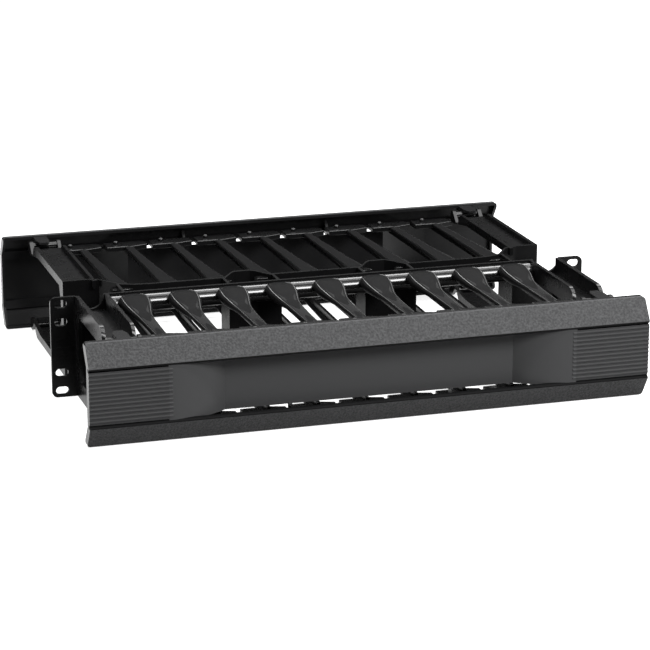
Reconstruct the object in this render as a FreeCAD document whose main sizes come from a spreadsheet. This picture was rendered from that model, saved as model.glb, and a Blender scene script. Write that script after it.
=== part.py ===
import FreeCAD, Part
import os
import re
import Sketcher
from FreeCAD import Placement, Rotation, Vector

# Double-sided horizontal cable manager, two rack units high, for a 19-inch rack.
# Millimetres.  X runs along the panel, +Y points to the rear of the rack and +Z up.
# The origin is the centre of the plane in which the ears bolt to the rack's rails.
# Each side of the manager is modelled with +Y pointing outward, away from the panel;
# the front frame and the front cover are then turned half a turn about Z.

FINGERS = 9
RIDGES_PER_HALF = 6
ARM_END_ANGLES = (90, 67.5, 45, 22.5, 0)
SHANK_SIDES = 12
HEAD_SIDES = 6

SIZES = {
    # Ears, panel and its windows
    "panel_width": 482.6,
    "panel_height": 88.1,
    "panel_wall": 3.0,
    "panel_corner": 5.0,
    "hole_spacing": 465.1,
    "outer_hole_height": 38.1,
    "inner_hole_height": 22.225,
    "slot_width": 6.8,
    "slot_length": 11.0,
    "window_height": 28.0,
    "centre_window": 38.0,
    "side_window_inner": 85.0,
    "side_window_outer": 175.0,
    "rail_top": 41.0,
    "rail_reach": 11.5,
    "rail_round": 3.0,
    "notch_side": 0.45,
    # Rear frame's wall, which bows back round the posts and at both ends
    "rear_top": 43.0,
    "rear_wall": 3.0,
    "rear_wall_reach": 24.0,
    "rib_wall": 2.5,
    "bow_reach": 42.0,
    "bow_outer": 69.0,
    "bow_inner": 55.0,
    "bow_ease": 13.0,
    "bow_round": 4.0,
    "end_reach": 53.0,
    "end_flat": 200.0,
    "end_foot": 162.0,
    "end_ease": 12.0,
    # Fingers
    "finger_pitch": 42.8,
    "finger_web": 3.0,
    "crown_flat": 0.34,
    "edge_drop": 0.13,
    "foot_flat": 0.3,
    "foot_drop": 0.42,
    "bar_reach": 13.0,
    "wing_reach": 16.0,
    "wing_tip": 4.0,
    "ear_length": 8.5,
    "ear_wall": 3.8,
    "ear_rise": 1.0,
    "bulb_width": 27.0,
    "bulb_crown": 43.4,
    "front_tip_width": 8.4,
    "front_tip_lead": 6.5,
    "front_tip_crown": 36.5,
    "rear_root_width": 18.5,
    "rear_root_crown": 39.5,
    "rear_tip_width": 5.5,
    "rear_tip_lead": 8.0,
    "rear_tip_crown": 32.0,
    "rear_web_foot": 25.0,
    # End arms, with the hinge bars moulded between their walls
    "arm_outer": 219.5,
    "arm_outer_wall": 3.5,
    "arm_inner": 191.0,
    "arm_inner_wall": 3.0,
    "front_arm_foot": 28.0,
    "rear_arm_foot": 36.0,
    "arm_web": 2.5,
    "arm_root": 13.0,
    "arm_end_gap": 17.0,
    "front_hinge_reach": 122.0,
    "rear_hinge_reach": 199.5,
    "hinge_height": 37.5,
    "bar_radius": 2.5,
    "lug_back": 11.0,
    "lug_front": 4.5,
    "lug_rise": 4.0,
    "lug_foot": 30.5,
    "lug_notch": 33.0,
    "lug_run": 40.0,
    "arm_run_in_front": 0.0,
    "arm_run_in_rear": 7.0,
    # Covers, with lengths outward from the hinge bars
    "cover_height": 86.6,
    "cover_wall": 2.4,
    "band_wall": 2.8,
    "lip_height": 25.0,
    "lip_reach": 31.5,
    "band_slant": 12.0,
    "return_depth": 7.5,
    "groove_height": 3.0,
    "groove_floor": 27.0,
    "pad_reach": 30.3,
    "recess_depth": 16.8,
    "recess_top": 24.0,
    "scoop_outer": 175.0,
    "scoop_inner": 125.0,
    "scoop_round": 80.0,
    "end_flange": 8.0,
    "end_corner": 2.5,
    "stay_place": 70.0,
    "ridge_pitch": 3.55,
    "ridge_foot": 2.2,
    "ridge_crest": 0.9,
    "ridge_rise": 0.7,
    # Hooks of the covers
    "hook_middle": 207.5,
    "hook_width": 12.0,
    "hook_gap": 0.3,
    "hook_wall": 2.6,
    "hook_tail": 12.0,
    "hook_mouth": 4.5,
    "hook_tip_width": 7.0,
    # Screws that join the frames
    "screw_place": 62.0,
    "screw_height": 20.0,
    "screw_radius": 1.8,
    "screw_play": 0.1,
    "screw_length": 18.0,
    "head_radius": 3.8,
    "head_height": 2.4,
    "post_width": 9.0,
}

# The fingers' tips reach a little past the hinge bars.
FRONT_TIP = "(front_hinge_reach + front_tip_lead)"
REAR_TIP = "(rear_hinge_reach + rear_tip_lead)"

doc = FreeCAD.newDocument("cable_manager")
sheet = doc.addObject("Spreadsheet::Sheet", "sizes")
for row, (alias, size) in enumerate(SIZES.items(), start=1):
    sheet.set(f"A{row}", alias)
    sheet.set(f"B{row}", str(size))
    sheet.setAlias(f"B{row}", alias)
doc.recompute()

# Sketch planes: how the sketch is turned, and the letter of its normal.
PLAN = (Rotation(), "z")
SIDE = (Rotation(Vector(1, 1, 1), 120), "x")
FACE = (Rotation(Vector(1, 0, 0), 90), "y")
NORMALS = {"x": Vector(1, 0, 0), "y": Vector(0, 1, 0), "z": Vector(0, 0, 1)}
ROD_TURNS = {"x": Rotation(Vector(0, 1, 0), 90), "y": Rotation(Vector(1, 0, 0), -90)}
HALF_TURN = Rotation(Vector(0, 0, 1), 180)


def formula(text):
    """A formula on the named sizes, as an expression on the sheet's cells."""
    names = r"[a-z][a-z_]*[a-z]"
    return re.sub(names, lambda found: f"sizes.{found[0]}" if found[0] in SIZES else found[0], str(text))


def value(text):
    return float(sheet.evalExpression(formula(text)))


def bind(thing, name, text):
    thing.setExpression(name, formula(text))


def outline(name, plane, corners, start):
    """A closed sketch through the corners; a third entry rounds its corner by that radius."""
    turn, normal = plane
    sketch = doc.addObject("Sketcher::SketchObject", name)
    sketch.Placement = Placement(Vector(), turn)
    bind(sketch, f".Placement.Base.{normal}", start)
    places = [Vector(value(corner[0]), value(corner[1]), 0) for corner in corners]
    count = len(places)
    for index in range(count):
        sketch.addGeometry(Part.LineSegment(places[index], places[(index + 1) % count]), False)
    for index in range(count):
        sketch.addConstraint(Sketcher.Constraint("Coincident", index, 2, (index + 1) % count, 1))
    for index, corner in enumerate(corners):
        for kind, text in (("DistanceX", corner[0]), ("DistanceY", corner[1])):
            fixed = sketch.addConstraint(Sketcher.Constraint(kind, -1, 1, index, 1, value(text)))
            bind(sketch, f"Constraints[{fixed}]", text)
    doc.recompute([sketch])
    for index, corner in enumerate(corners):
        if len(corner) > 2:
            arc = sketch.GeometryCount
            sketch.fillet(index, 1, value(corner[2]), True, True)
            fixed = sketch.addConstraint(Sketcher.Constraint("Radius", arc, value(corner[2])))
            bind(sketch, f"Constraints[{fixed}]", corner[2])
    return sketch


def plate(name, plane, corners, start, length):
    """An outline given a thickness along its plane's normal, from its start."""
    solid = doc.addObject("Part::Extrusion", name)
    solid.Base = outline(f"{name}_outline", plane, corners, start)
    solid.DirMode = "Custom"
    solid.Dir = NORMALS[plane[1]]
    solid.Solid = True
    bind(solid, "LengthFwd", length)
    return solid


def block(name, low, high):
    """A box between two corners."""
    solid = doc.addObject("Part::Box", name)
    for side, axis, near, far in zip(("Length", "Width", "Height"), "xyz", low, high):
        bind(solid, f".Placement.Base.{axis}", near)
        bind(solid, side, f"({far}) - ({near})")
    return solid


def rod(name, axis, place, length, radius):
    """A cylinder along an axis, from the centre of its first end."""
    solid = doc.addObject("Part::Cylinder", name)
    solid.Placement = Placement(Vector(), ROD_TURNS[axis])
    for letter, text in zip("xyz", place):
        bind(solid, f".Placement.Base.{letter}", text)
    bind(solid, "Height", length)
    bind(solid, "Radius", radius)
    return solid


def fuse(name, parts):
    solid = doc.addObject("Part::MultiFuse", name)
    solid.Shapes = parts
    solid.Refine = True
    return solid


def cut(name, base, tool):
    solid = doc.addObject("Part::Cut", name)
    solid.Base = base
    solid.Tool = tool
    solid.Refine = True
    return solid


def common(name, parts):
    solid = doc.addObject("Part::MultiCommon", name)
    solid.Shapes = parts
    return solid


def mirror(name, source, axis, place="0"):
    solid = doc.addObject("Part::Mirroring", name)
    solid.Source = source
    solid.Normal = NORMALS[axis]
    bind(solid, f".Base.{axis}", place)
    return solid


def pair(name, right):
    """A piece and its mirror image at the other end of the panel."""
    return fuse(name, [right, mirror(f"{name}_left", right, "x")])


def slot(name, place_x, place_z):
    """A tool for one horizontal slot through the ear, with round ends."""
    straight = "(slot_length - slot_width) / 2"
    through = ("-1", "panel_wall + 1")
    middle = block(
        f"{name}_middle",
        (f"{place_x} - {straight}", through[0], f"{place_z} - slot_width / 2"),
        (f"{place_x} + {straight}", through[1], f"{place_z} + slot_width / 2"),
    )
    ends = [
        rod(f"{name}_end_{sign_name}", "y", (f"{place_x} {sign} {straight}", through[0], place_z),
            "panel_wall + 2", "slot_width / 2")
        for sign_name, sign in (("near", "-"), ("far", "+"))
    ]
    return fuse(name, [middle] + ends)


def panel():
    """The upper half of the front panel, with its windows, slots and scallops."""
    right = [
        ("panel_width / 2", "0"),
        ("side_window_outer", "0"),
        ("side_window_outer", "window_height"),
        ("side_window_inner", "window_height"),
        ("side_window_inner", "0"),
        ("centre_window", "0"),
        ("centre_window", "window_height"),
    ]
    left = [(f"-({corner[0]})",) + corner[1:] for corner in reversed(right)]
    top = [
        ("-panel_width / 2", "panel_height / 2", "panel_corner"),
        ("panel_width / 2", "panel_height / 2", "panel_corner"),
    ]
    blank = plate("panel_blank", FACE, right + left + top, "0", "panel_wall")
    scallop = rod(
        "scallop", "y", ("(arm_inner + arm_inner_wall + arm_outer) / 2", "-1", "panel_height / 2"),
        "panel_wall + 2", "(arm_outer - arm_inner - arm_inner_wall) / 2 - notch_side",
    )
    openings = [
        slot("outer_slot", "hole_spacing / 2", "outer_hole_height"),
        slot("inner_slot", "hole_spacing / 2", "inner_hole_height"),
        scallop,
    ]
    return cut("panel", blank, pair("panel_openings", fuse("right_panel_openings", openings)))


def cable_rail():
    """The rounded rail along the panel over which cables drop between the fingers."""
    profile = [
        ("panel_wall - 1", "window_height"),
        ("rail_reach - rail_round", "window_height"),
        ("rail_reach", "window_height + rail_round"),
        ("rail_reach", "rail_top - rail_round"),
        ("rail_reach - rail_round / 3", "rail_top - rail_round / 3"),
        ("rail_reach - rail_round", "rail_top"),
        ("panel_wall - 1", "rail_top"),
    ]
    return plate("cable_rail", SIDE, profile, "-arm_inner - 1", "2 * arm_inner + 2")


def finger_section(reach, width, crown):
    """Corners across a finger: flat on top, its edges turned down and drawn in below."""
    across = value(width)
    top = value(crown)
    half = [
        (value("crown_flat"), 0),
        (0.5, value("edge_drop")),
        (value("foot_flat"), value("foot_drop")),
    ]
    right = [Vector(share * across, value(reach), top - drop * across) for share, drop in half]
    left = [Vector(-corner.x, corner.y, corner.z) for corner in reversed(right)]
    return right + left


def finger_body(name, stations):
    """A finger's crowned body: flat faces from each section to the next, closed at both ends."""
    sections = [finger_section(*station) for station in stations]
    loops = [sections[0], sections[-1]]
    for near, far in zip(sections, sections[1:]):
        for index in range(len(near)):
            after = (index + 1) % len(near)
            loops.append([near[index], near[after], far[after], far[index]])
    faces = [Part.Face(Part.makePolygon(loop + loop[:1])) for loop in loops]
    body = doc.addObject("Part::Feature", name)
    body.Shape = Part.Solid(Part.Shell(faces))
    return body


def finger_row(side, stations, web, tip_reach, tip_crown):
    """A row of fingers: crowned bodies on thin webs, each with a bar and a wing at its tip."""
    body = finger_body(f"{side}_finger_body", stations)
    web_plate = plate(f"{side}_finger_web", SIDE, web, "-finger_web / 2", "finger_web")
    ears = plate(f"{side}_finger_ears", PLAN, [
        ("-bar_reach", tip_reach),
        ("-bar_reach", f"{tip_reach} - ear_length"),
        ("0", f"{tip_reach} - ear_length"),
        ("0", f"{tip_reach} - 2 * ear_length"),
        ("wing_reach", f"{tip_reach} - wing_tip"),
        ("wing_reach", tip_reach),
    ], f"{tip_crown} + ear_rise - ear_wall", "ear_wall")
    finger = fuse(f"{side}_finger", [body, web_plate, ears])
    copies = []
    for index in range(FINGERS):
        copy = doc.addObject("Part::Compound", f"{side}_finger_{index + 1}")
        copy.Links = [finger]
        bind(copy, ".Placement.Base.x", f"finger_pitch * ({index} - {(FINGERS - 1) / 2})")
        copies.append(copy)
    return copies


def arms(side, root, top, foot, hinge_reach):
    """The two end arms: walls joined by a web, with lugs at their ends that hold the hinge bar."""
    arm_end = f"{hinge_reach} - arm_end_gap"
    drop = f"({top} - lug_notch)"
    end = [
        (f"{arm_end} - {drop} * (1 - cos({angle}))", f"lug_notch + {drop} * sin({angle})")
        for angle in ARM_END_ANGLES
    ]
    end += [
        (f"{hinge_reach} - lug_back", "lug_notch"),
        (f"{hinge_reach} - lug_rise / 2", "hinge_height + lug_rise"),
        (f"{hinge_reach} + lug_front / 2", "hinge_height + lug_rise"),
        (f"{hinge_reach} + lug_front", "hinge_height + lug_rise / 2"),
        (f"{hinge_reach} + lug_front", "lug_foot + lug_front / 2"),
        (f"{hinge_reach} + lug_front / 2", "lug_foot"),
        (f"{hinge_reach} - lug_back / 2", "lug_foot"),
        (f"{hinge_reach} - lug_run", foot),
    ]
    outer_wall = plate(
        f"{side}_arm_outer_wall", SIDE,
        [(f"{root} - 1", "0"), (f"{root} - 1", top)] + end
        + [(f"{root} + arm_root", foot), (f"{root} + arm_root / 2", f"{foot} - arm_root"),
           (f"{root} + arm_root / 2", "0")],
        "arm_outer - arm_outer_wall", "arm_outer_wall",
    )
    inner_wall = plate(
        f"{side}_arm_inner_wall", SIDE,
        [(f"{root} - 1 - arm_run_in_{side}", foot), (f"{root} - 1 - arm_run_in_{side}", top)] + end,
        "arm_inner", "arm_inner_wall",
    )
    web = block(
        f"{side}_arm_web",
        ("arm_inner + arm_inner_wall / 2", f"{root} - 1", foot),
        ("arm_outer - arm_outer_wall / 2", arm_end, f"{foot} + arm_web"),
    )
    bar = rod(
        f"{side}_hinge_bar", "x", ("arm_inner + arm_inner_wall / 2", hinge_reach, "hinge_height"),
        "arm_outer - arm_inner - (arm_inner_wall + arm_outer_wall) / 2", "bar_radius",
    )
    arm = fuse(f"{side}_arm", [outer_wall, inner_wall, web, bar])
    return [arm, mirror(f"{side}_arm_left", arm, "x")]


def ring(sides, radius):
    """Corners of a regular outline round a screw's place."""
    angles = [360 * index / sides for index in range(sides)]
    return [
        (f"screw_place + {radius} * cos({angle})", f"screw_height + {radius} * sin({angle})")
        for angle in angles
    ]


def posts():
    """The front frame's square posts, each with a core hole in which a screw cuts its thread."""
    end = "bow_reach - rear_wall"
    post = block(
        "post_blank",
        ("screw_place - post_width / 2", f"-({end})", "screw_height - post_width / 2"),
        ("screw_place + post_width / 2", "1", "screw_height + post_width / 2"),
    )
    core = block(
        "post_core",
        ("screw_place - screw_radius - screw_play", f"-({end}) - 1",
         "screw_height - screw_radius - screw_play"),
        ("screw_place + screw_radius + screw_play", "screw_length + 1 - bow_reach",
         "screw_height + screw_radius + screw_play"),
    )
    return pair("posts", cut("post", post, core))


def front_frame():
    """The upper front moulding, built facing +Y and turned to face the front."""
    stations = [
        ("panel_wall + 0.5", "0.5 * bulb_width", "bulb_crown - 2"),
        ("panel_wall + 9", "0.98 * bulb_width", "bulb_crown"),
        ("panel_wall + 25", "0.86 * bulb_width", "bulb_crown - 2.6"),
        ("panel_wall + 48", "0.48 * bulb_width", "front_tip_crown + 0.6"),
        (FRONT_TIP, "front_tip_width", "front_tip_crown"),
    ]
    web = [
        ("panel_wall - 1", "window_height"),
        (f"{FRONT_TIP} - 1", "window_height"),
        (f"{FRONT_TIP} - 1", "front_tip_crown - 2"),
        ("panel_wall + 42", "front_tip_crown - 2"),
        ("panel_wall + 20", "bulb_crown - 5"),
        ("panel_wall - 1", "rail_top - 1"),
    ]
    pieces = [panel(), cable_rail(), posts()]
    pieces += finger_row("front", stations, web, FRONT_TIP, "front_tip_crown")
    pieces += arms("front", "panel_wall", "panel_height / 2", "front_arm_foot", "front_hinge_reach")
    frame = fuse("front_frame_upper", pieces)
    frame.Placement = Placement(Vector(), HALF_TURN)
    return frame


def rear_wall_line(offset):
    """Corners of the rear wall's line from the right end to the left, drawn in by an offset."""
    right = [
        ("arm_outer", "end_reach"),
        ("end_flat", "end_reach"),
        ("end_flat - end_ease", "end_reach - end_ease / 4"),
        ("end_foot + end_ease", "rear_wall_reach + end_ease / 2"),
        ("end_foot", "rear_wall_reach + end_ease / 8"),
        ("end_foot - end_ease", "rear_wall_reach"),
        ("bow_outer + bow_ease", "rear_wall_reach"),
        ("bow_outer + bow_round", "bow_reach - bow_round"),
        ("bow_outer", "bow_reach"),
        ("bow_inner", "bow_reach"),
        ("bow_inner - bow_round", "bow_reach - bow_round"),
        ("bow_inner - bow_ease", "rear_wall_reach"),
    ]
    left = [(f"-({across})", reach) for across, reach in reversed(right)]
    return [(across, f"{reach} - {offset}") for across, reach in right + left]


def rear_frame():
    """The upper rear moulding: the bowed wall, window tunnels, fingers and arms."""
    line = rear_wall_line("0") + rear_wall_line("rear_wall")[::-1]
    wall = plate("rear_wall_plate", PLAN, line, "0", "rear_top")
    side_window = block("side_window", ("side_window_inner", "-1", "-1"),
                        ("side_window_outer", "end_reach + 1", "window_height"))
    centre_window = block("centre_window_tool", ("-centre_window", "-1", "-1"),
                          ("centre_window", "end_reach + 1", "window_height"))
    windows = fuse("rear_windows", [pair("side_windows", side_window), centre_window])
    inside = "rear_wall_reach - rear_wall / 2"
    slant_end = f"{inside} + end_ease / 2"
    side_shelf = plate("side_shelf", PLAN, [
        ("side_window_inner - rib_wall", "0"),
        ("side_window_outer + rib_wall", "0"),
        ("side_window_outer + rib_wall", slant_end),
        ("end_foot", inside),
        ("side_window_inner - rib_wall", inside),
    ], "window_height", "rib_wall")
    ribs = [
        block("centre_rib", ("centre_window", "0", "0"), ("centre_window + rib_wall", inside, "rear_top")),
        block("post_rib", ("side_window_inner - rib_wall", "0", "0"),
              ("side_window_inner", inside, "rear_top")),
        block("end_rib", ("side_window_outer", "0", "0"),
              ("side_window_outer + rib_wall", slant_end, "rear_top")),
    ]
    tunnels = pair("tunnels", fuse("right_tunnels", [side_shelf] + ribs))
    centre_shelf = block("centre_shelf", ("-centre_window - 1", "0", "window_height"),
                         ("centre_window + 1", inside, "window_height + rib_wall"))
    stations = [
        ("rear_wall_reach - 1", "rear_root_width", "rear_root_crown"),
        ("rear_wall_reach + 60", "0.58 * rear_root_width", "rear_root_crown - 2.6"),
        (REAR_TIP, "rear_tip_width", "rear_tip_crown"),
    ]
    web = [
        ("rear_wall_reach - 1", "window_height"),
        (f"{REAR_TIP} - 1", "rear_web_foot"),
        (f"{REAR_TIP} - 1", "rear_tip_crown - 1.5"),
        ("rear_wall_reach - 1", "rear_root_crown - 3"),
    ]
    pieces = [cut("rear_wall_open", wall, windows), tunnels, centre_shelf]
    pieces += finger_row("rear", stations, web, REAR_TIP, "rear_tip_crown")
    pieces += arms("rear", "end_reach", "rear_top", "rear_arm_foot", "rear_hinge_reach")
    blank = fuse("rear_frame_blank", pieces)
    hole = plate("screw_hole", FACE, ring(SHANK_SIDES, "(screw_radius + screw_play)"),
                 "rear_wall_reach", "bow_reach - rear_wall_reach + 1")
    return cut("rear_frame_upper", blank, pair("screw_holes", hole))


def band():
    """The cover's upper band: return, slanting face and the ledge under its lip."""
    half = "cover_height / 2"
    run_in = "cover_wall * band_slant / (cover_height / 2 - lip_height)"
    top_reach = "lip_reach - band_slant"
    profile = [
        (f"{top_reach} - return_depth", half),
        (top_reach, half),
        ("lip_reach", "lip_height"),
        ("groove_floor - cover_wall", "lip_height"),
        ("groove_floor - cover_wall", "lip_height + cover_wall"),
        (f"lip_reach - band_wall - {run_in}", "lip_height + cover_wall"),
        (f"{top_reach} - band_wall + {run_in}", f"{half} - cover_wall"),
        (f"{top_reach} - return_depth", f"{half} - cover_wall"),
    ]
    return plate("band", SIDE, profile, "0", "panel_width / 2")


def pad():
    """The upper half of the ridged end pad, which steps in to the groove under the band."""
    top = "lip_height - groove_height"
    profile = [
        ("groove_floor - cover_wall", "lip_height + cover_wall"),
        ("groove_floor", "lip_height + cover_wall"),
        ("groove_floor", top),
        ("pad_reach", top),
    ]
    for index in reversed(range(RIDGES_PER_HALF)):
        middle = f"ridge_pitch * ({index} + 0.5)"
        profile += [
            ("pad_reach", f"{middle} + ridge_foot / 2"),
            ("pad_reach + ridge_rise", f"{middle} + ridge_crest / 2"),
            ("pad_reach + ridge_rise", f"{middle} - ridge_crest / 2"),
            ("pad_reach", f"{middle} - ridge_foot / 2"),
        ]
    profile += [
        ("pad_reach", "0"),
        ("pad_reach - cover_wall", "0"),
        ("pad_reach - cover_wall", f"{top} - cover_wall"),
        ("groove_floor - cover_wall", f"{top} - cover_wall"),
    ]
    return plate("pad", SIDE, profile, "scoop_outer - cover_wall", "panel_width / 2 - scoop_outer + cover_wall")


def recess():
    """The cover's face from the pad down a curved scoop to the recessed middle."""
    corner = "(scoop_inner + scoop_outer) / 2 - 2.4"
    floor = "pad_reach - recess_depth"
    line = [
        ("0", floor),
        ("scoop_inner", floor),
        (corner, "pad_reach", "scoop_round"),
        ("scoop_outer + 1", "pad_reach"),
    ]
    back = [(across, f"{reach} - cover_wall", *rounding) for across, reach, *rounding in reversed(line)]
    return plate("recess", PLAN, line + back, "0", "recess_top")


def stay():
    """A thin stay between the recessed middle and the band."""
    back = "pad_reach - recess_depth - cover_wall"
    profile = [
        (back, "lip_height / 2"),
        (f"{back} + cover_wall", "recess_top - 1"),
        ("groove_floor - 1", "lip_height + 0.2"),
        ("groove_floor - 1", "lip_height + cover_wall"),
        ("lip_reach - band_slant", "cover_height / 2 - 6"),
        (back, "lip_height + cover_wall"),
    ]
    return plate("stay", SIDE, profile, "stay_place - cover_wall / 2", "cover_wall")


def end_plate():
    """The flange that closes the cover's end, open behind the pad."""
    half = "cover_height / 2"
    top_reach = "lip_reach - band_slant"
    profile = [
        (f"{top_reach} - return_depth", half),
        (top_reach, half),
        ("lip_reach", "lip_height"),
        ("groove_floor", "lip_height"),
        ("groove_floor", "lip_height - groove_height"),
        ("pad_reach", "lip_height - groove_height"),
        ("pad_reach", "0"),
        ("pad_reach - end_flange", "0"),
        ("pad_reach - end_flange", "lip_height"),
        (f"{top_reach} - return_depth", f"{half} - cover_wall - 2"),
    ]
    return plate("end_plate", SIDE, profile, "panel_width / 2 - cover_wall", "cover_wall")


def hook():
    """A hook round the hinge bar, open towards the frame, its tail drawn in to a narrow tip."""
    bore = "(bar_radius + hook_gap)"
    strap_top = f"hinge_height + {bore} + hook_wall"
    strap_end = "lip_reach - band_slant - 2"
    profile = [
        (strap_end, strap_top),
        ("-hook_tail", strap_top),
        ("-hook_tail", f"hinge_height + {bore} + 0.6"),
        ("-hook_mouth", f"hinge_height + {bore}"),
        (bore, f"hinge_height + {bore}", f"{bore} - 0.01"),
        (bore, f"hinge_height - {bore}", f"{bore} - 0.01"),
        ("-hook_mouth", f"hinge_height - {bore}"),
        ("-hook_mouth", f"hinge_height - {bore} - hook_wall"),
        (f"{bore} + hook_wall / 2", f"hinge_height - {bore} - hook_wall"),
        (f"{bore} + hook_wall", f"hinge_height - {bore} - hook_wall / 2"),
        (f"{bore} + hook_wall", "hinge_height + 0.6"),
        (strap_end, "hinge_height + 0.6"),
    ]
    strap = plate("hook_strap", SIDE, profile, "hook_middle - hook_width / 2", "hook_width")
    plan = [
        ("hook_middle - hook_width / 2", strap_end),
        ("hook_middle - hook_width / 2", "-hook_mouth"),
        ("hook_middle - hook_tip_width / 2", "-hook_tail"),
        ("hook_middle + hook_tip_width / 2", "-hook_tail"),
        ("hook_middle + hook_width / 2", "-hook_mouth"),
        ("hook_middle + hook_width / 2", strap_end),
    ]
    taper = plate("hook_taper", PLAN, plan, "0", "panel_height / 2")
    return common("hook", [strap, taper])


def covers():
    """Both covers: one quarter mirrored twice, then its corners rounded and copied to the rear."""
    quarter = fuse("cover_quarter", [band(), pad(), recess(), stay(), end_plate(), hook()])
    half = pair("cover_half", quarter)
    whole = fuse("cover_whole", [half, mirror("cover_lower_half", half, "z")])
    envelope = plate("cover_envelope", FACE, [
        ("panel_width / 2", "-cover_height / 2", "end_corner"),
        ("panel_width / 2", "cover_height / 2", "end_corner"),
        ("-panel_width / 2", "cover_height / 2", "end_corner"),
        ("-panel_width / 2", "-cover_height / 2", "end_corner"),
    ], "-2 * hook_tail", "2 * hook_tail + 2 * lip_reach")
    front = common("front_cover", [whole, envelope])
    front.Placement = Placement(Vector(), HALF_TURN)
    bind(front, ".Placement.Base.y", "-front_hinge_reach")
    rear = mirror("rear_cover", front, "y", "(rear_hinge_reach - front_hinge_reach) / 2")
    return [front, rear]


def frame_screws():
    """The hexagon-head screws that hold the rear frame to the front frame's posts."""
    shank = plate("shank", FACE, ring(SHANK_SIDES, "screw_radius"),
                  "bow_reach - screw_length", "screw_length + head_height / 2")
    head = plate("screw_head", FACE, ring(HEAD_SIDES, "head_radius"), "bow_reach", "head_height")
    right = fuse("right_screw", [shank, head])
    row = doc.addObject("Part::Compound", "upper_screws")
    row.Links = [right, mirror("left_screw", right, "x")]
    group = doc.addObject("Part::Compound", "frame_screws")
    group.Links = [row, mirror("lower_screws", row, "z")]
    return group


def main():
    front_upper = front_frame()
    rear_upper = rear_frame()
    nodes = [
        front_upper,
        mirror("front_frame_lower", front_upper, "z"),
        rear_upper,
        mirror("rear_frame_lower", rear_upper, "z"),
    ]
    nodes += covers() + [frame_screws()]
    doc.recompute()
    for thing in doc.Objects:
        if "Invalid" in thing.State or "Error" in thing.State:
            raise RuntimeError(f"{thing.Name} failed: {thing.State}")
    for node in nodes:
        if node.Shape.isNull() or not node.Shape.isValid():
            raise RuntimeError(f"{node.Label} has no valid shape")
    os.makedirs("parts", exist_ok=True)
    for node in nodes:
        node.Shape.exportStep(f"parts/{node.Label}.step")
        solids = len(node.Shape.Solids)
        print(f"{node.Label}: {solids} solid(s), {node.Shape.Volume / 1000:.1f} cm3, {node.Shape.BoundBox}")


main()
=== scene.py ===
import bmesh
import bpy
import math
from mathutils import Matrix, Vector


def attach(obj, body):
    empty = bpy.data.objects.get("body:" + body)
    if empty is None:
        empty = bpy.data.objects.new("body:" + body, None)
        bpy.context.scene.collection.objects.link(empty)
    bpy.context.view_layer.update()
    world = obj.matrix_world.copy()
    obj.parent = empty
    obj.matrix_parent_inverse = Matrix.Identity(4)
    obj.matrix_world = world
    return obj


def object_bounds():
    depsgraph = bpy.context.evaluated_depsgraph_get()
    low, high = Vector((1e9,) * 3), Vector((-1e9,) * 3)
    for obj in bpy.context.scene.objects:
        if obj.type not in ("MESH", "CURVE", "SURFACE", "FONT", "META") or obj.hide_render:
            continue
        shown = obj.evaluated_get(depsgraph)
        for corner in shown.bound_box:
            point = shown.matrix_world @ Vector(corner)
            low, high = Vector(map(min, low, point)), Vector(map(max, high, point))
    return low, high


# Double-sided horizontal cable manager: the finishes of its moulded frame and covers,
# the smooth forms of its fingers, rails and lips, the studio floor, lamps and camera.
# Lengths are millimetres in the part's own frame, up to the studio, where they are metres.
# A reach is counted outward from the panel, to the front or to the rear.

MM = 0.001
FINGER_PITCH = 42.8
FINGERS = 9
BOTH_HALVES = (1, -1)

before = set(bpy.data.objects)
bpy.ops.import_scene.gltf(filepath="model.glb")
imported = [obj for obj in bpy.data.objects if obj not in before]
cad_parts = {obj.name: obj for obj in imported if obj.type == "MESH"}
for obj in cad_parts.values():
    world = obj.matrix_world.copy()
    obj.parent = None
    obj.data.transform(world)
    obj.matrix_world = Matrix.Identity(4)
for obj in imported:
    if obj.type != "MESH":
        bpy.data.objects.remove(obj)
cad_low, cad_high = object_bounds()


# ---- shader tools ----

class Value:
    """A shader socket that can be used in plain arithmetic."""

    def __init__(self, tree, socket):
        self.tree = tree
        self.socket = socket

    def _math(self, operation, first, second=0.0):
        node = self.tree.nodes.new("ShaderNodeMath")
        node.operation = operation
        for place, item in enumerate((first, second)):
            if isinstance(item, Value):
                self.tree.links.new(item.socket, node.inputs[place])
            else:
                node.inputs[place].default_value = item
        return Value(self.tree, node.outputs[0])

    def __add__(self, other):
        return self._math("ADD", self, other)

    def __radd__(self, other):
        return self._math("ADD", other, self)

    def __sub__(self, other):
        return self._math("SUBTRACT", self, other)

    def __rsub__(self, other):
        return self._math("SUBTRACT", other, self)

    def __mul__(self, other):
        return self._math("MULTIPLY", self, other)

    def __rmul__(self, other):
        return self._math("MULTIPLY", other, self)

    def size(self):
        return self._math("ABSOLUTE", self)

    def above(self, other):
        return self._math("GREATER_THAN", self, other)

    def below(self, other):
        return self._math("LESS_THAN", self, other)

    def larger(self, other):
        return self._math("MAXIMUM", self, other)


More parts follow.
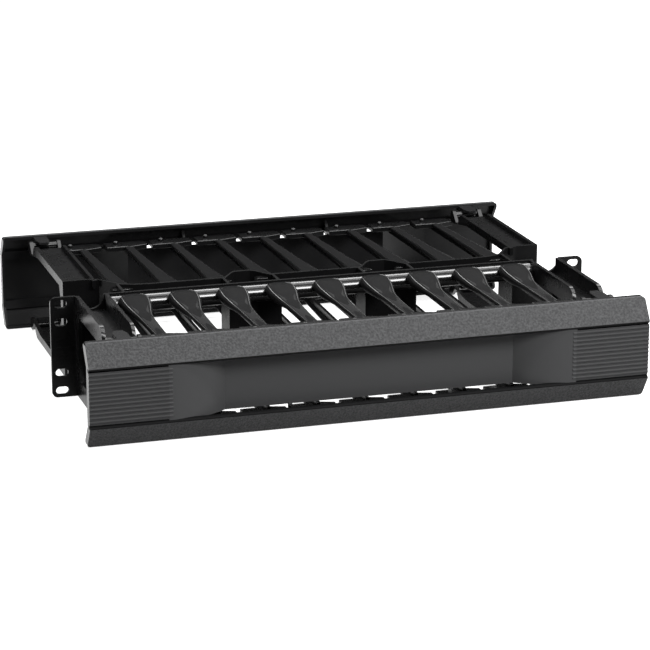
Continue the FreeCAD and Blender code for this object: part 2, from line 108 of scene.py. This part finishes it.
class Finish:
    """A material's or world's node tree, with one method that makes any node."""

    def __init__(self, owner):
        owner.use_nodes = True
        self.owner = owner
        self.tree = owner.node_tree
        self.tree.nodes.clear()

    def node(self, kind, settings=None, **sockets):
        made = self.tree.nodes.new(kind)
        for name, setting in (settings or {}).items():
            setattr(made, name, setting)
        for name, item in sockets.items():
            key = int(name[1:]) if name[0] == "_" else name.replace("_", " ")
            socket = made.inputs[key]
            if isinstance(item, Value):
                self.tree.links.new(item.socket, socket)
            else:
                socket.default_value = item
        return made

    def value(self, node, name):
        return Value(self.tree, node.outputs[name])

    def place(self):
        """The point's own place on the part, as a vector and as its three numbers."""
        vector = self.value(self.node("ShaderNodeTexCoord"), "Object")
        parts = self.node("ShaderNodeSeparateXYZ", Vector=vector)
        return vector, [self.value(parts, axis) for axis in "XYZ"]

    def facing(self):
        """The three numbers of the surface's own direction."""
        normal = self.value(self.node("ShaderNodeTexCoord"), "Normal")
        parts = self.node("ShaderNodeSeparateXYZ", Vector=normal)
        return [self.value(parts, axis) for axis in "XYZ"]

    def noise(self, place, scale, detail=3.0):
        made = self.node("ShaderNodeTexNoise", Vector=place, Scale=scale, Detail=detail)
        return self.value(made, "Fac")

    def stretch(self, source, low, high):
        """A value spread from 0 at the low mark to 1 at the high one."""
        made = self.node(
            "ShaderNodeMapRange", {"clamp": True},
            Value=source, From_Min=low, From_Max=high,
        )
        return self.value(made, "Result")

    def mix_colour(self, share, first, second):
        made = self.node(
            "ShaderNodeMix", {"data_type": "RGBA"},
            _0=share, _6=colour_socket(first), _7=colour_socket(second),
        )
        return Value(self.tree, made.outputs[2])

    def surface(self, **sockets):
        shader = self.node("ShaderNodeBsdfPrincipled", **sockets)
        self.node("ShaderNodeOutputMaterial", Surface=self.value(shader, "BSDF"))
        return self.owner


def colour_socket(item):
    return item if isinstance(item, Value) else (*item, 1.0)


# ---- finishes ----

FRAME_BLACK = (0.005, 0.005, 0.0052)
FINGER_BLACK = (0.006, 0.006, 0.0062)
COVER_GREY = (0.07, 0.0705, 0.072)
COVER_DARK = (0.0125, 0.0125, 0.013)
ZINC_DARK = (0.5, 0.5, 0.51)
ZINC_LIGHT = (0.62, 0.62, 0.62)

# Where one finish ends and the next begins
PANEL_FACE = 4.5
ARMS_INSIDE = 186.0
FRONT_TIPS = 108.0
REAR_TIPS = 188.0
RAIL_UNDERSIDE = 33.2
BAND_FOOT = 25.3
PADS_INSIDE = 175.5
LIP_TOP = 42.5
FRONT_LIP = 138.0
REAR_LIP = 214.0

# How far a face has to point up or outward before its finish changes, from 0 to 1
LEVEL_FACE = 0.3
RIM_FACE = 0.7
OUTER_FACE = 0.12


def tinted(colour, share):
    """The same colour, lighter or darker by a share."""
    return [share * part for part in colour]


def frame_finish():
    """Black moulded plastic with a soft gloss, polished on the end arms and the finger tips."""
    finish = Finish(bpy.data.materials.new("frame_plastic"))
    place, (across, along, _) = finish.place()
    cloud = finish.noise(place, scale=55.0)
    _, _, rising = finish.facing()
    arms = across.size().above(ARMS_INSIDE * MM) * along.size().above(PANEL_FACE * MM)
    tips = along.above(REAR_TIPS * MM).larger(along.below(-FRONT_TIPS * MM))
    level = rising.size().above(LEVEL_FACE)
    return finish.surface(
        Base_Color=finish.mix_colour(cloud, FRAME_BLACK, tinted(FRAME_BLACK, 1.5)),
        Roughness=cloud * 0.12 + 0.22,
        Specular_IOR_Level=0.09,
        Coat_Weight=arms.larger(tips) * level * 0.7,
        Coat_Roughness=0.1,
    )


def finger_finish():
    """The fingers' finer, duller skin, which shines only at its edges."""
    finish = Finish(bpy.data.materials.new("finger_plastic"))
    place, _ = finish.place()
    cloud = finish.noise(place, scale=90.0)
    grain = finish.noise(place, scale=1900.0, detail=2.0)
    bump = finish.node("ShaderNodeBump", Strength=0.1, Distance=0.0001, Height=grain)
    return finish.surface(
        Base_Color=finish.mix_colour(cloud, FINGER_BLACK, tinted(FINGER_BLACK, 1.3)),
        Roughness=cloud * 0.1 + 0.42,
        Specular_IOR_Level=0.03,
        Normal=finish.value(bump, "Normal"),
    )


def rail_finish():
    """Polished plastic for the rails and beads, dull on the rails' undersides."""
    finish = Finish(bpy.data.materials.new("rail_plastic"))
    place, (_, _, up) = finish.place()
    cloud = finish.noise(place, scale=40.0)
    return finish.surface(
        Base_Color=finish.mix_colour(cloud, FRAME_BLACK, tinted(FRAME_BLACK, 1.4)),
        Roughness=cloud * 0.1 + 0.25,
        Specular_IOR_Level=0.1,
        Coat_Weight=up.size().above(RAIL_UNDERSIDE * MM) * 0.95,
        Coat_Roughness=0.17,
        Coat_IOR=1.9,
    )


def cover_finish():
    """Charcoal on the outward faces, grained on the slanted bands, and smooth black inside; the
    lips' rims that face up or down take the charcoal as a painted highlight.
    """
    finish = Finish(bpy.data.materials.new("cover_plastic"))
    place, (across, along, up) = finish.place()
    _, facing, rising = finish.facing()
    outward = 1.0 - 2.0 * along.below(0.0)
    lips = along.above(REAR_LIP * MM).larger(along.below(-FRONT_LIP * MM))
    # painted highlight: rim faces at the lips' top and bottom that point up or down get the lighter
    # charcoal for the sheen they catch
    rims = lips * up.size().above(LIP_TOP * MM) * rising.size().above(RIM_FACE)
    outward_and_painted_sheen = (facing * outward).above(OUTER_FACE).larger(rims)
    band = up.size().above(BAND_FOOT * MM) * outward_and_painted_sheen
    pads = across.size().above(PADS_INSIDE * MM)
    coarse = finish.stretch(finish.noise(place, scale=560.0, detail=5.0), low=0.36, high=0.64)
    fine = finish.noise(place, scale=1500.0, detail=2.0)
    grain = coarse * band + fine * 0.05
    bump = finish.node("ShaderNodeBump", Strength=0.7, Distance=0.0003, Height=grain)
    speckled = finish.mix_colour(coarse, tinted(COVER_GREY, 0.7), tinted(COVER_GREY, 1.3))
    plain = finish.mix_colour(pads, COVER_GREY, tinted(COVER_GREY, 0.8))
    skin = finish.mix_colour(band, plain, speckled)
    return finish.surface(
        Base_Color=finish.mix_colour(outward_and_painted_sheen, COVER_DARK, skin),
        Roughness=0.26 + outward_and_painted_sheen * 0.2 + band * 0.1,
        Specular_IOR_Level=0.12,
        Normal=finish.value(bump, "Normal"),
    )


def painted_shade_finish():
    """Painted shade: a dark, smooth black for the rolled strip under each lip, standing in for the
    shadow that falls there.
    """
    finish = Finish(bpy.data.materials.new("painted_shade_black"))
    place, _ = finish.place()
    cloud = finish.noise(place, scale=80.0)
    return finish.surface(
        Base_Color=finish.mix_colour(cloud, FRAME_BLACK, tinted(FRAME_BLACK, 1.5)),
        Roughness=cloud * 0.1 + 0.5,
        Specular_IOR_Level=0.05,
    )


def screw_finish():
    """Zinc-plated steel."""
    finish = Finish(bpy.data.materials.new("screw_steel"))
    place, _ = finish.place()
    cloud = finish.noise(place, scale=400.0)
    return finish.surface(
        Base_Color=finish.mix_colour(cloud, ZINC_DARK, ZINC_LIGHT),
        Metallic=1.0,
        Roughness=cloud * 0.15 + 0.25,
    )


frame_plastic = frame_finish()
finger_plastic = finger_finish()
rail_plastic = rail_finish()
cover_plastic = cover_finish()
painted_shade_black = painted_shade_finish()
screw_steel = screw_finish()


# Points nearer than the gap are joined, and edges sharper than the angle are rounded
WELD_GAP = 0.02
EDGE_ANGLE = 32.0


def soften(thing, width):
    """Rounds a moulding's edges by a fine radius and shades its curves smoothly."""
    weld = thing.modifiers.new("weld", "WELD")
    weld.merge_threshold = WELD_GAP * MM
    bevel = thing.modifiers.new("edge_round", "BEVEL")
    bevel.width = width * MM
    bevel.segments = 2
    bevel.limit_method = "ANGLE"
    bevel.angle_limit = math.radians(EDGE_ANGLE)
    even = thing.modifiers.new("flat_faces", "WEIGHTED_NORMAL")
    even.weight = 100
    for face in thing.data.polygons:
        face.use_smooth = True


def node_finish(name):
    """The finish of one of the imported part's own nodes."""
    if "cover" in name:
        return cover_plastic
    return screw_steel if "screw" in name else frame_plastic


for name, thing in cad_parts.items():
    for slot in thing.material_slots:
        slot.material = node_finish(name)


# ---- smooth forms over the moulded ones ----

def placed(name, data):
    """An object for a mesh, a lamp or a camera, put in the scene."""
    thing = bpy.data.objects.new(name, data)
    bpy.context.collection.objects.link(thing)
    return thing


def piece(name, runs, material):
    """One mesh of capped tubes; each run is a list of rings with as many points each."""
    points = []
    faces = []
    for run in runs:
        start = len(points)
        count = len(run[0])
        last = start + (len(run) - 1) * count
        for ring in run:
            points += [Vector(point) * MM for point in ring]
        for low in range(start, last, count):
            for column in range(count):
                after = (column + 1) % count
                near, far = low + column, low + after
                faces.append((near, far, far + count, near + count))
        faces.append(tuple(reversed(range(start, start + count))))
        faces.append(tuple(range(last, last + count)))
    mesh = bpy.data.meshes.new(name)
    mesh.from_pydata(points, [], faces)
    shape = bmesh.new()
    shape.from_mesh(mesh)
    bmesh.ops.recalc_face_normals(shape, faces=shape.faces)
    shape.to_mesh(mesh)
    shape.free()
    for face in mesh.polygons:
        face.use_smooth = len(face.vertices) == 4
    mesh.materials.append(material)
    return placed(name, mesh)


def angles(sides):
    """Even steps round a circle."""
    return [2 * math.pi * index / sides for index in range(sides)]


def swelled(share, power):
    """A circle's share turned into that of a squarer or rounder section."""
    return math.copysign(abs(share) ** power, share)


def stations():
    """Each finger's place: 1 for the upper half or -1 for the lower, and its middle."""
    for upward in BOTH_HALVES:
        for index in range(FINGERS):
            yield upward, FINGER_PITCH * (index - (FINGERS - 1) / 2)


def eased(knots, place):
    """A smooth curve through (place, size) knots, flat where they turn."""
    if place <= knots[0][0]:
        return knots[0][1]
    if place >= knots[-1][0]:
        return knots[-1][1]
    slopes = []
    for index, knot in enumerate(knots):
        before = knots[max(index - 1, 0)]
        after = knots[min(index + 1, len(knots) - 1)]
        slope = (after[1] - before[1]) / (after[0] - before[0])
        if (after[1] - knot[1]) * (knot[1] - before[1]) <= 0 < index < len(knots) - 1:
            slope = 0.0
        slopes.append(slope)
    for index in range(len(knots) - 1):
        (near, low), (far, high) = knots[index], knots[index + 1]
        if near <= place <= far:
            run = far - near
            share = (place - near) / run
            rest = 1 - share
            return (
                low * rest * rest * (1 + 2 * share) + high * share * share * (3 - 2 * share)
                + slopes[index] * run * share * rest * rest
                - slopes[index + 1] * run * share * share * rest
            )
    return knots[-1][1]


# A finger's section and the beads along its edges, as shares of its width
FINGER_SIDES = 28
FINGER_HALF = 0.53
FINGER_AXIS = 0.2
CROWN_RISE, CROWN_POWER = 0.215, 2 / 2.9
BELLY_DROP, BELLY_POWER = 0.26, 2 / 2.2
BEAD_SIDES = 6
BEAD_PLACE = 0.43
BEAD_DROP = 0.035


def finger_ring(across, reach, width, top, outward, upward):
    """One section round a finger, crowned on top; its shape goes with its width."""
    ring = []
    for angle in angles(FINGER_SIDES):
        over = math.sin(angle)
        tall, power = (CROWN_RISE, CROWN_POWER) if over > 0 else (BELLY_DROP, BELLY_POWER)
        x = FINGER_HALF * width * swelled(math.cos(angle), power)
        z = top - FINGER_AXIS * width + tall * width * swelled(over, power)
        ring.append((across + x, outward * reach, upward * z))
    return ring


# Widths and top heights of a finger at its reaches
FRONT_WIDTHS = [
    (3.0, 8.0), (4.5, 14.0), (7.0, 19.5), (11.0, 23.6), (17.0, 25.3), (28.0, 23.4),
    (51.0, 14.2), (80.0, 11.2), (129.0, 9.2),
]
FRONT_TOPS = [(3.0, 41.8), (7.0, 43.1), (13.0, 43.4), (28.0, 41.0), (51.0, 37.35), (129.0, 36.6)]
REAR_WIDTHS = [(23.0, 22.5), (30.0, 19.5), (45.0, 16.2), (84.0, 11.9), (208.0, 6.2)]
REAR_TOPS = [(23.0, 39.9), (84.0, 37.1), (208.0, 32.1)]


def finger_bead(across, reaches, widths, tops, radius, outward, upward):
    """The bead from a finger's tip along one edge, round its root and back along the other."""
    line = []
    for side in (-1, 1):
        for reach in reaches[::side]:
            width = eased(widths, reach)
            x = across + side * BEAD_PLACE * width
            z = eased(tops, reach) - BEAD_DROP * width
            line.append(Vector((x, outward * reach, upward * z)))
    run = []
    for index, point in enumerate(line):
        after = line[min(index + 1, len(line) - 1)]
        before = line[max(index - 1, 0)]
        ahead = (after - before).normalized()
        aside = ahead.cross(Vector((0.0, 0.0, 1.0))).normalized()
        above = aside.cross(ahead)
        run.append([
            point + radius * (math.cos(angle) * aside + math.sin(angle) * above)
            for angle in angles(BEAD_SIDES)
        ])
    return run


# Above 1, a finger's rings crowd towards its root, where it curves most
ROOT_CROWDING = 1.5


def finger_tops(side, widths, tops, start, end, rows, bead, outward):
    """The smooth skins over one side's fingers, and the beads round their edges."""
    skins, beads = [], []
    reaches = [
        start + (end - start) * (row / rows) ** ROOT_CROWDING for row in range(rows + 1)
    ]
    for upward, across in stations():
        skins.append([
            finger_ring(
                across, reach, eased(widths, reach), eased(tops, reach), outward, upward,
            )
            for reach in reaches
        ])
        beads.append(finger_bead(across, reaches, widths, tops, bead, outward, upward))
    for name, runs, material in (
        ("skins", skins, finger_plastic), ("beads", beads, rail_plastic),
    ):
        thing = piece(f"{side}_finger_{name}", runs, material)
        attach(thing, "frame")


finger_tops(
    "front", FRONT_WIDTHS, FRONT_TOPS, start=3.1, end=128.3, rows=44, bead=0.5, outward=-1,
)
finger_tops(
    "rear", REAR_WIDTHS, REAR_TOPS, start=23.2, end=207.3, rows=40, bead=0.35, outward=1,
)


# The length of the short rings at both ends of a long run
END_ROUND = 0.8


def run_along(section, half_length):
    """A section carried along the part; a short ring at each end keeps its shading even."""
    ends = (-half_length, END_ROUND - half_length, half_length - END_ROUND, half_length)
    return [[(across, y, z) for y, z in section] for across in ends]


# The sections of the rails and of the panel's rims: their middles, and how far they swell
RAIL_SIDES = 32
RAIL_HALF_LENGTH = 191.0
RAIL_REACH, RAIL_HEIGHT = 3.5, 34.5
RAIL_NOSE, RAIL_HEEL, RAIL_TALL = 9.0, 1.0, 7.6
RAIL_POWER = 2 / 2.2
RIM_REACH, RIM_HEIGHT, RIM_RADIUS = 2.1, 43.1, 0.9


def rails():
    """The polished, rounded rails along the panel, and the round rims of the panel's edges."""
    rail_runs, rim_runs = [], []
    for upward in BOTH_HALVES:
        rail, rim = [], []
        for angle in angles(RAIL_SIDES):
            out = math.cos(angle)
            over = math.sin(angle)
            deep = RAIL_NOSE if out > 0 else RAIL_HEEL
            reach = RAIL_REACH + deep * swelled(out, RAIL_POWER)
            height = RAIL_HEIGHT + RAIL_TALL * swelled(over, RAIL_POWER)
            rail.append((-reach, upward * height))
            rim.append((-RIM_REACH - RIM_RADIUS * out, upward * (RIM_HEIGHT + RIM_RADIUS * over)))
        rail_runs.append(run_along(rail, RAIL_HALF_LENGTH))
        rim_runs.append(run_along(rim, RAIL_HALF_LENGTH))
    for name, runs in (("rail_skins", rail_runs), ("panel_rims", rim_runs)):
        thing = piece(name, runs, rail_plastic)
        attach(thing, "frame")


rails()


# The plates at the fingers' tips: each side's tip reach, top height and way outward,
# then the plates' plan outlines, across and along from the tip.
EARS = {"front": (128.3, 37.6, -1), "rear": (207.5, 33.1, 1)}
EAR_BAR = [(0.0, -17.5), (-20.5, -17.5), (-20.5, -0.2), (0.0, -0.2)]
EAR_WING = [(0.0, -19.5), (18.0, -14.0), (18.0, -2.4), (2.0, -0.2), (0.0, -0.2)]
EAR_DEPTH = 4.6
EAR_EDGE = 0.6
KNOB_ACROSS, KNOB_BACK = -10.0, 6.0
KNOB_SIDES = 16
KNOB_STEPS = ((2.3, -0.5), (2.3, 1.6), (1.7, 2.4), (0.8, 2.8))


def slab(outline, top, across, tip, outward, upward):
    """Two rings for a flat plate under a plan outline."""
    return [
        [(across + x, outward * (tip + y), upward * (top - drop)) for x, y in outline]
        for drop in (0.0, EAR_DEPTH)
    ]


def knob(top, across, tip, outward, upward):
    """Rings for the small round knob on a plate, as (radius, rise) steps."""
    middle = tip - KNOB_BACK
    return [
        [
            (across + KNOB_ACROSS + radius * math.cos(angle),
             outward * (middle + radius * math.sin(angle)),
             upward * (top + rise))
            for angle in angles(KNOB_SIDES)
        ]
        for radius, rise in KNOB_STEPS
    ]


def finger_ears():
    """The bar, the swept wing and the small knob at each finger's tip."""
    for side, (tip, top, outward) in EARS.items():
        bars, wings, knobs = [], [], []
        for upward, across in stations():
            spot = (top, across, tip, outward, upward)
            bars.append(slab(EAR_BAR, *spot))
            wings.append(slab(EAR_WING, *spot))
            knobs.append(knob(*spot))
        for name, runs in (("bars", bars), ("wings", wings), ("knobs", knobs)):
            thing = piece(f"{side}_ear_{name}", runs, frame_plastic)
            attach(thing, "frame")
            if name != "knobs":
                soften(thing, EAR_EDGE)


finger_ears()


# Each cover's hinge reach and way outward, then the section from the hinge of the rolled lip strip
# that carries painted shade
HINGES = {"front": (122.0, -1), "rear": (199.5, 1)}
LIP_ROLL = [
    (30.9, 25.6), (31.4, 25.0), (31.2, 24.2), (30.4, 23.2), (29.2, 22.6), (27.6, 22.6),
    (27.6, 25.6),
]
LIP_HALF_LENGTH = 241.2


def painted_shade_rolls():
    """The rolled strip along each band's lip, painted black as the shade under the lip."""
    for side, (hinge, outward) in HINGES.items():
        runs = []
        for upward in BOTH_HALVES:
            section = [
                (outward * (hinge + reach), upward * height) for reach, height in LIP_ROLL
            ]
            runs.append(run_along(section, LIP_HALF_LENGTH))
        # painted shade: the lip strips are coloured black for the shadow under each lip
        thing = piece(f"{side}_painted_shade_rolls", runs, painted_shade_black)
        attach(thing, f"{side}_cover")


painted_shade_rolls()

# How finely edges are rounded: on the frame, and on the covers and screws
FRAME_EDGE = 0.45
FINE_EDGE = 0.16

for name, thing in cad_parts.items():
    soften(thing, FINE_EDGE if "cover" in name or "screw" in name else FRAME_EDGE)


# ---- studio ----

WHITE = (1.0, 1.0, 1.0, 1.0)
FLOOR_PAINT = (0.8, 0.8, 0.8, 1.0)
FLOOR_GLOW = 0.8
FLOOR_BOUNCE = (0.07, 0.07, 0.07, 1.0)
FLOOR_HALF = 8.0
FLAG_CLOTH = (0.01, 0.01, 0.01, 1.0)
FLAG_RADIUS, FLAG_TALL, FLAG_SIDES = 1.75, 0.72, 48
SURROUND_LIGHT = 0.16

# Each lamp's place, the point it is aimed at, its width and height, and its watts
LAMPS = {
    "overhead": ((0.2, -0.05, 1.5), (0.2, 0.0, 0.0), 2.6, 0.7, 18.0),
    "rail_strip": ((0.35, -0.52, 1.25), (0.35, 0.0, 0.0), 2.6, 0.14, 8.0),
    "front_fill": ((0.6, -1.25, 1.0), (0.0, -0.1, 0.0), 1.1, 0.6, 23.0),
    "rear_fill": ((0.3, 1.0, 1.2), (0.3, 0.0, 0.0), 2.6, 0.4, 15.0),
}


def stand(thing, place, back, roll=0.0):
    """Puts a lamp or a camera at a place, with its back turned to a direction."""
    turned = back.to_track_quat("Z", "Y").to_matrix().to_4x4() @ Matrix.Rotation(roll, 4, "Z")
    thing.matrix_world = Matrix.Translation(Vector(place)) @ turned


def lamp(name, place, aim, width, height, power):
    """A soft rectangular lamp aimed at a point."""
    data = bpy.data.lights.new(name, "AREA")
    data.shape = "RECTANGLE"
    data.size = width
    data.size_y = height
    data.energy = power
    stand(placed(name, data), place, Vector(place) - Vector(aim))


def stage_piece(name, points, faces, finish, shader):
    """A mesh that only dresses the set, with the finish whose last shader is given."""
    finish.node("ShaderNodeOutputMaterial", Surface=shader)
    mesh = bpy.data.meshes.new(name)
    mesh.from_pydata(points, [], faces)
    mesh.materials.append(finish.owner)
    return placed(name, mesh)


def flags():
    """A low ring of black cards round the set that only reflections see, against glare."""
    finish = Finish(bpy.data.materials.new("flag_black"))
    cloth = finish.node("ShaderNodeBsdfDiffuse", Color=FLAG_CLOTH)
    points = [
        (FLAG_RADIUS * math.cos(angle), FLAG_RADIUS * math.sin(angle), cad_low.z + rise)
        for rise in (0.0, FLAG_TALL) for angle in angles(FLAG_SIDES)
    ]
    faces = []
    for index in range(FLAG_SIDES):
        after = (index + 1) % FLAG_SIDES
        faces.append((index, after, FLAG_SIDES + after, FLAG_SIDES + index))
    ring = stage_piece("flags", points, faces, finish, finish.value(cloth, "BSDF"))
    ring.visible_camera = False
    ring.visible_shadow = False
    ring.visible_diffuse = False


def seen(finish):
    """1 for what is seen straight, in a reflection or through something, and 0 for light."""
    path = finish.node("ShaderNodeLightPath")
    straight = finish.value(path, "Is Camera Ray")
    through = finish.value(path, "Is Transmission Ray")
    return straight.larger(through).larger(finish.value(path, "Is Glossy Ray"))


def floor_plane():
    """A white floor that keeps the part's shadow and throws little light back."""
    finish = Finish(bpy.data.materials.new("floor_white"))
    paint = finish.node("ShaderNodeBsdfDiffuse", Color=FLOOR_PAINT)
    glow = finish.node("ShaderNodeEmission", Color=WHITE, Strength=FLOOR_GLOW)
    dull = finish.node("ShaderNodeBsdfDiffuse", Color=FLOOR_BOUNCE)
    bright = finish.node(
        "ShaderNodeAddShader",
        _0=finish.value(paint, "BSDF"), _1=finish.value(glow, "Emission"),
    )
    mixed = finish.node(
        "ShaderNodeMixShader",
        _0=seen(finish), _1=finish.value(dull, "BSDF"), _2=finish.value(bright, "Shader"),
    )
    corners = [
        (FLOOR_HALF * x, FLOOR_HALF * y, cad_low.z) for x, y in ((-1, -1), (1, -1), (1, 1), (-1, 1))
    ]
    floor = stage_piece("floor", corners, [(0, 1, 2, 3)], finish, finish.value(mixed, "Shader"))


def surround():
    """A white surround that lights the part only softly."""
    world = bpy.data.worlds.new("surround")
    bpy.context.scene.world = world
    air = Finish(world)
    white = air.node("ShaderNodeBackground", Color=WHITE, Strength=1.0)
    soft = air.node("ShaderNodeBackground", Color=WHITE, Strength=SURROUND_LIGHT)
    mixed = air.node(
        "ShaderNodeMixShader",
        _0=seen(air), _1=air.value(soft, "Background"), _2=air.value(white, "Background"),
    )
    air.node("ShaderNodeOutputWorld", Surface=air.value(mixed, "Shader"))


floor_plane()
flags()
surround()
for name, setting in LAMPS.items():
    lamp(name, *setting)


CAMERA_PLACE = (-0.653447, -2.116469, 0.643028)
CAMERA_TURN, CAMERA_RISE, CAMERA_ROLL = -17.206, 16.203, 0.072
LENS = 146.38
SENSOR = 36.0
FAR_END = 50.0


def camera():
    """The camera, set by its place, its direction in degrees and its lens."""
    turn = math.radians(CAMERA_TURN)
    rise = math.radians(CAMERA_RISE)
    level = math.cos(rise)
    back = Vector((math.sin(turn) * level, -math.cos(turn) * level, math.sin(rise)))
    data = bpy.data.cameras.new("camera")
    data.lens = LENS
    data.sensor_width = SENSOR
    data.clip_end = FAR_END
    thing = placed("camera", data)
    stand(thing, CAMERA_PLACE, back, math.radians(CAMERA_ROLL))
    bpy.context.scene.camera = thing


camera()
bpy.context.scene.view_settings.view_transform = "Standard"
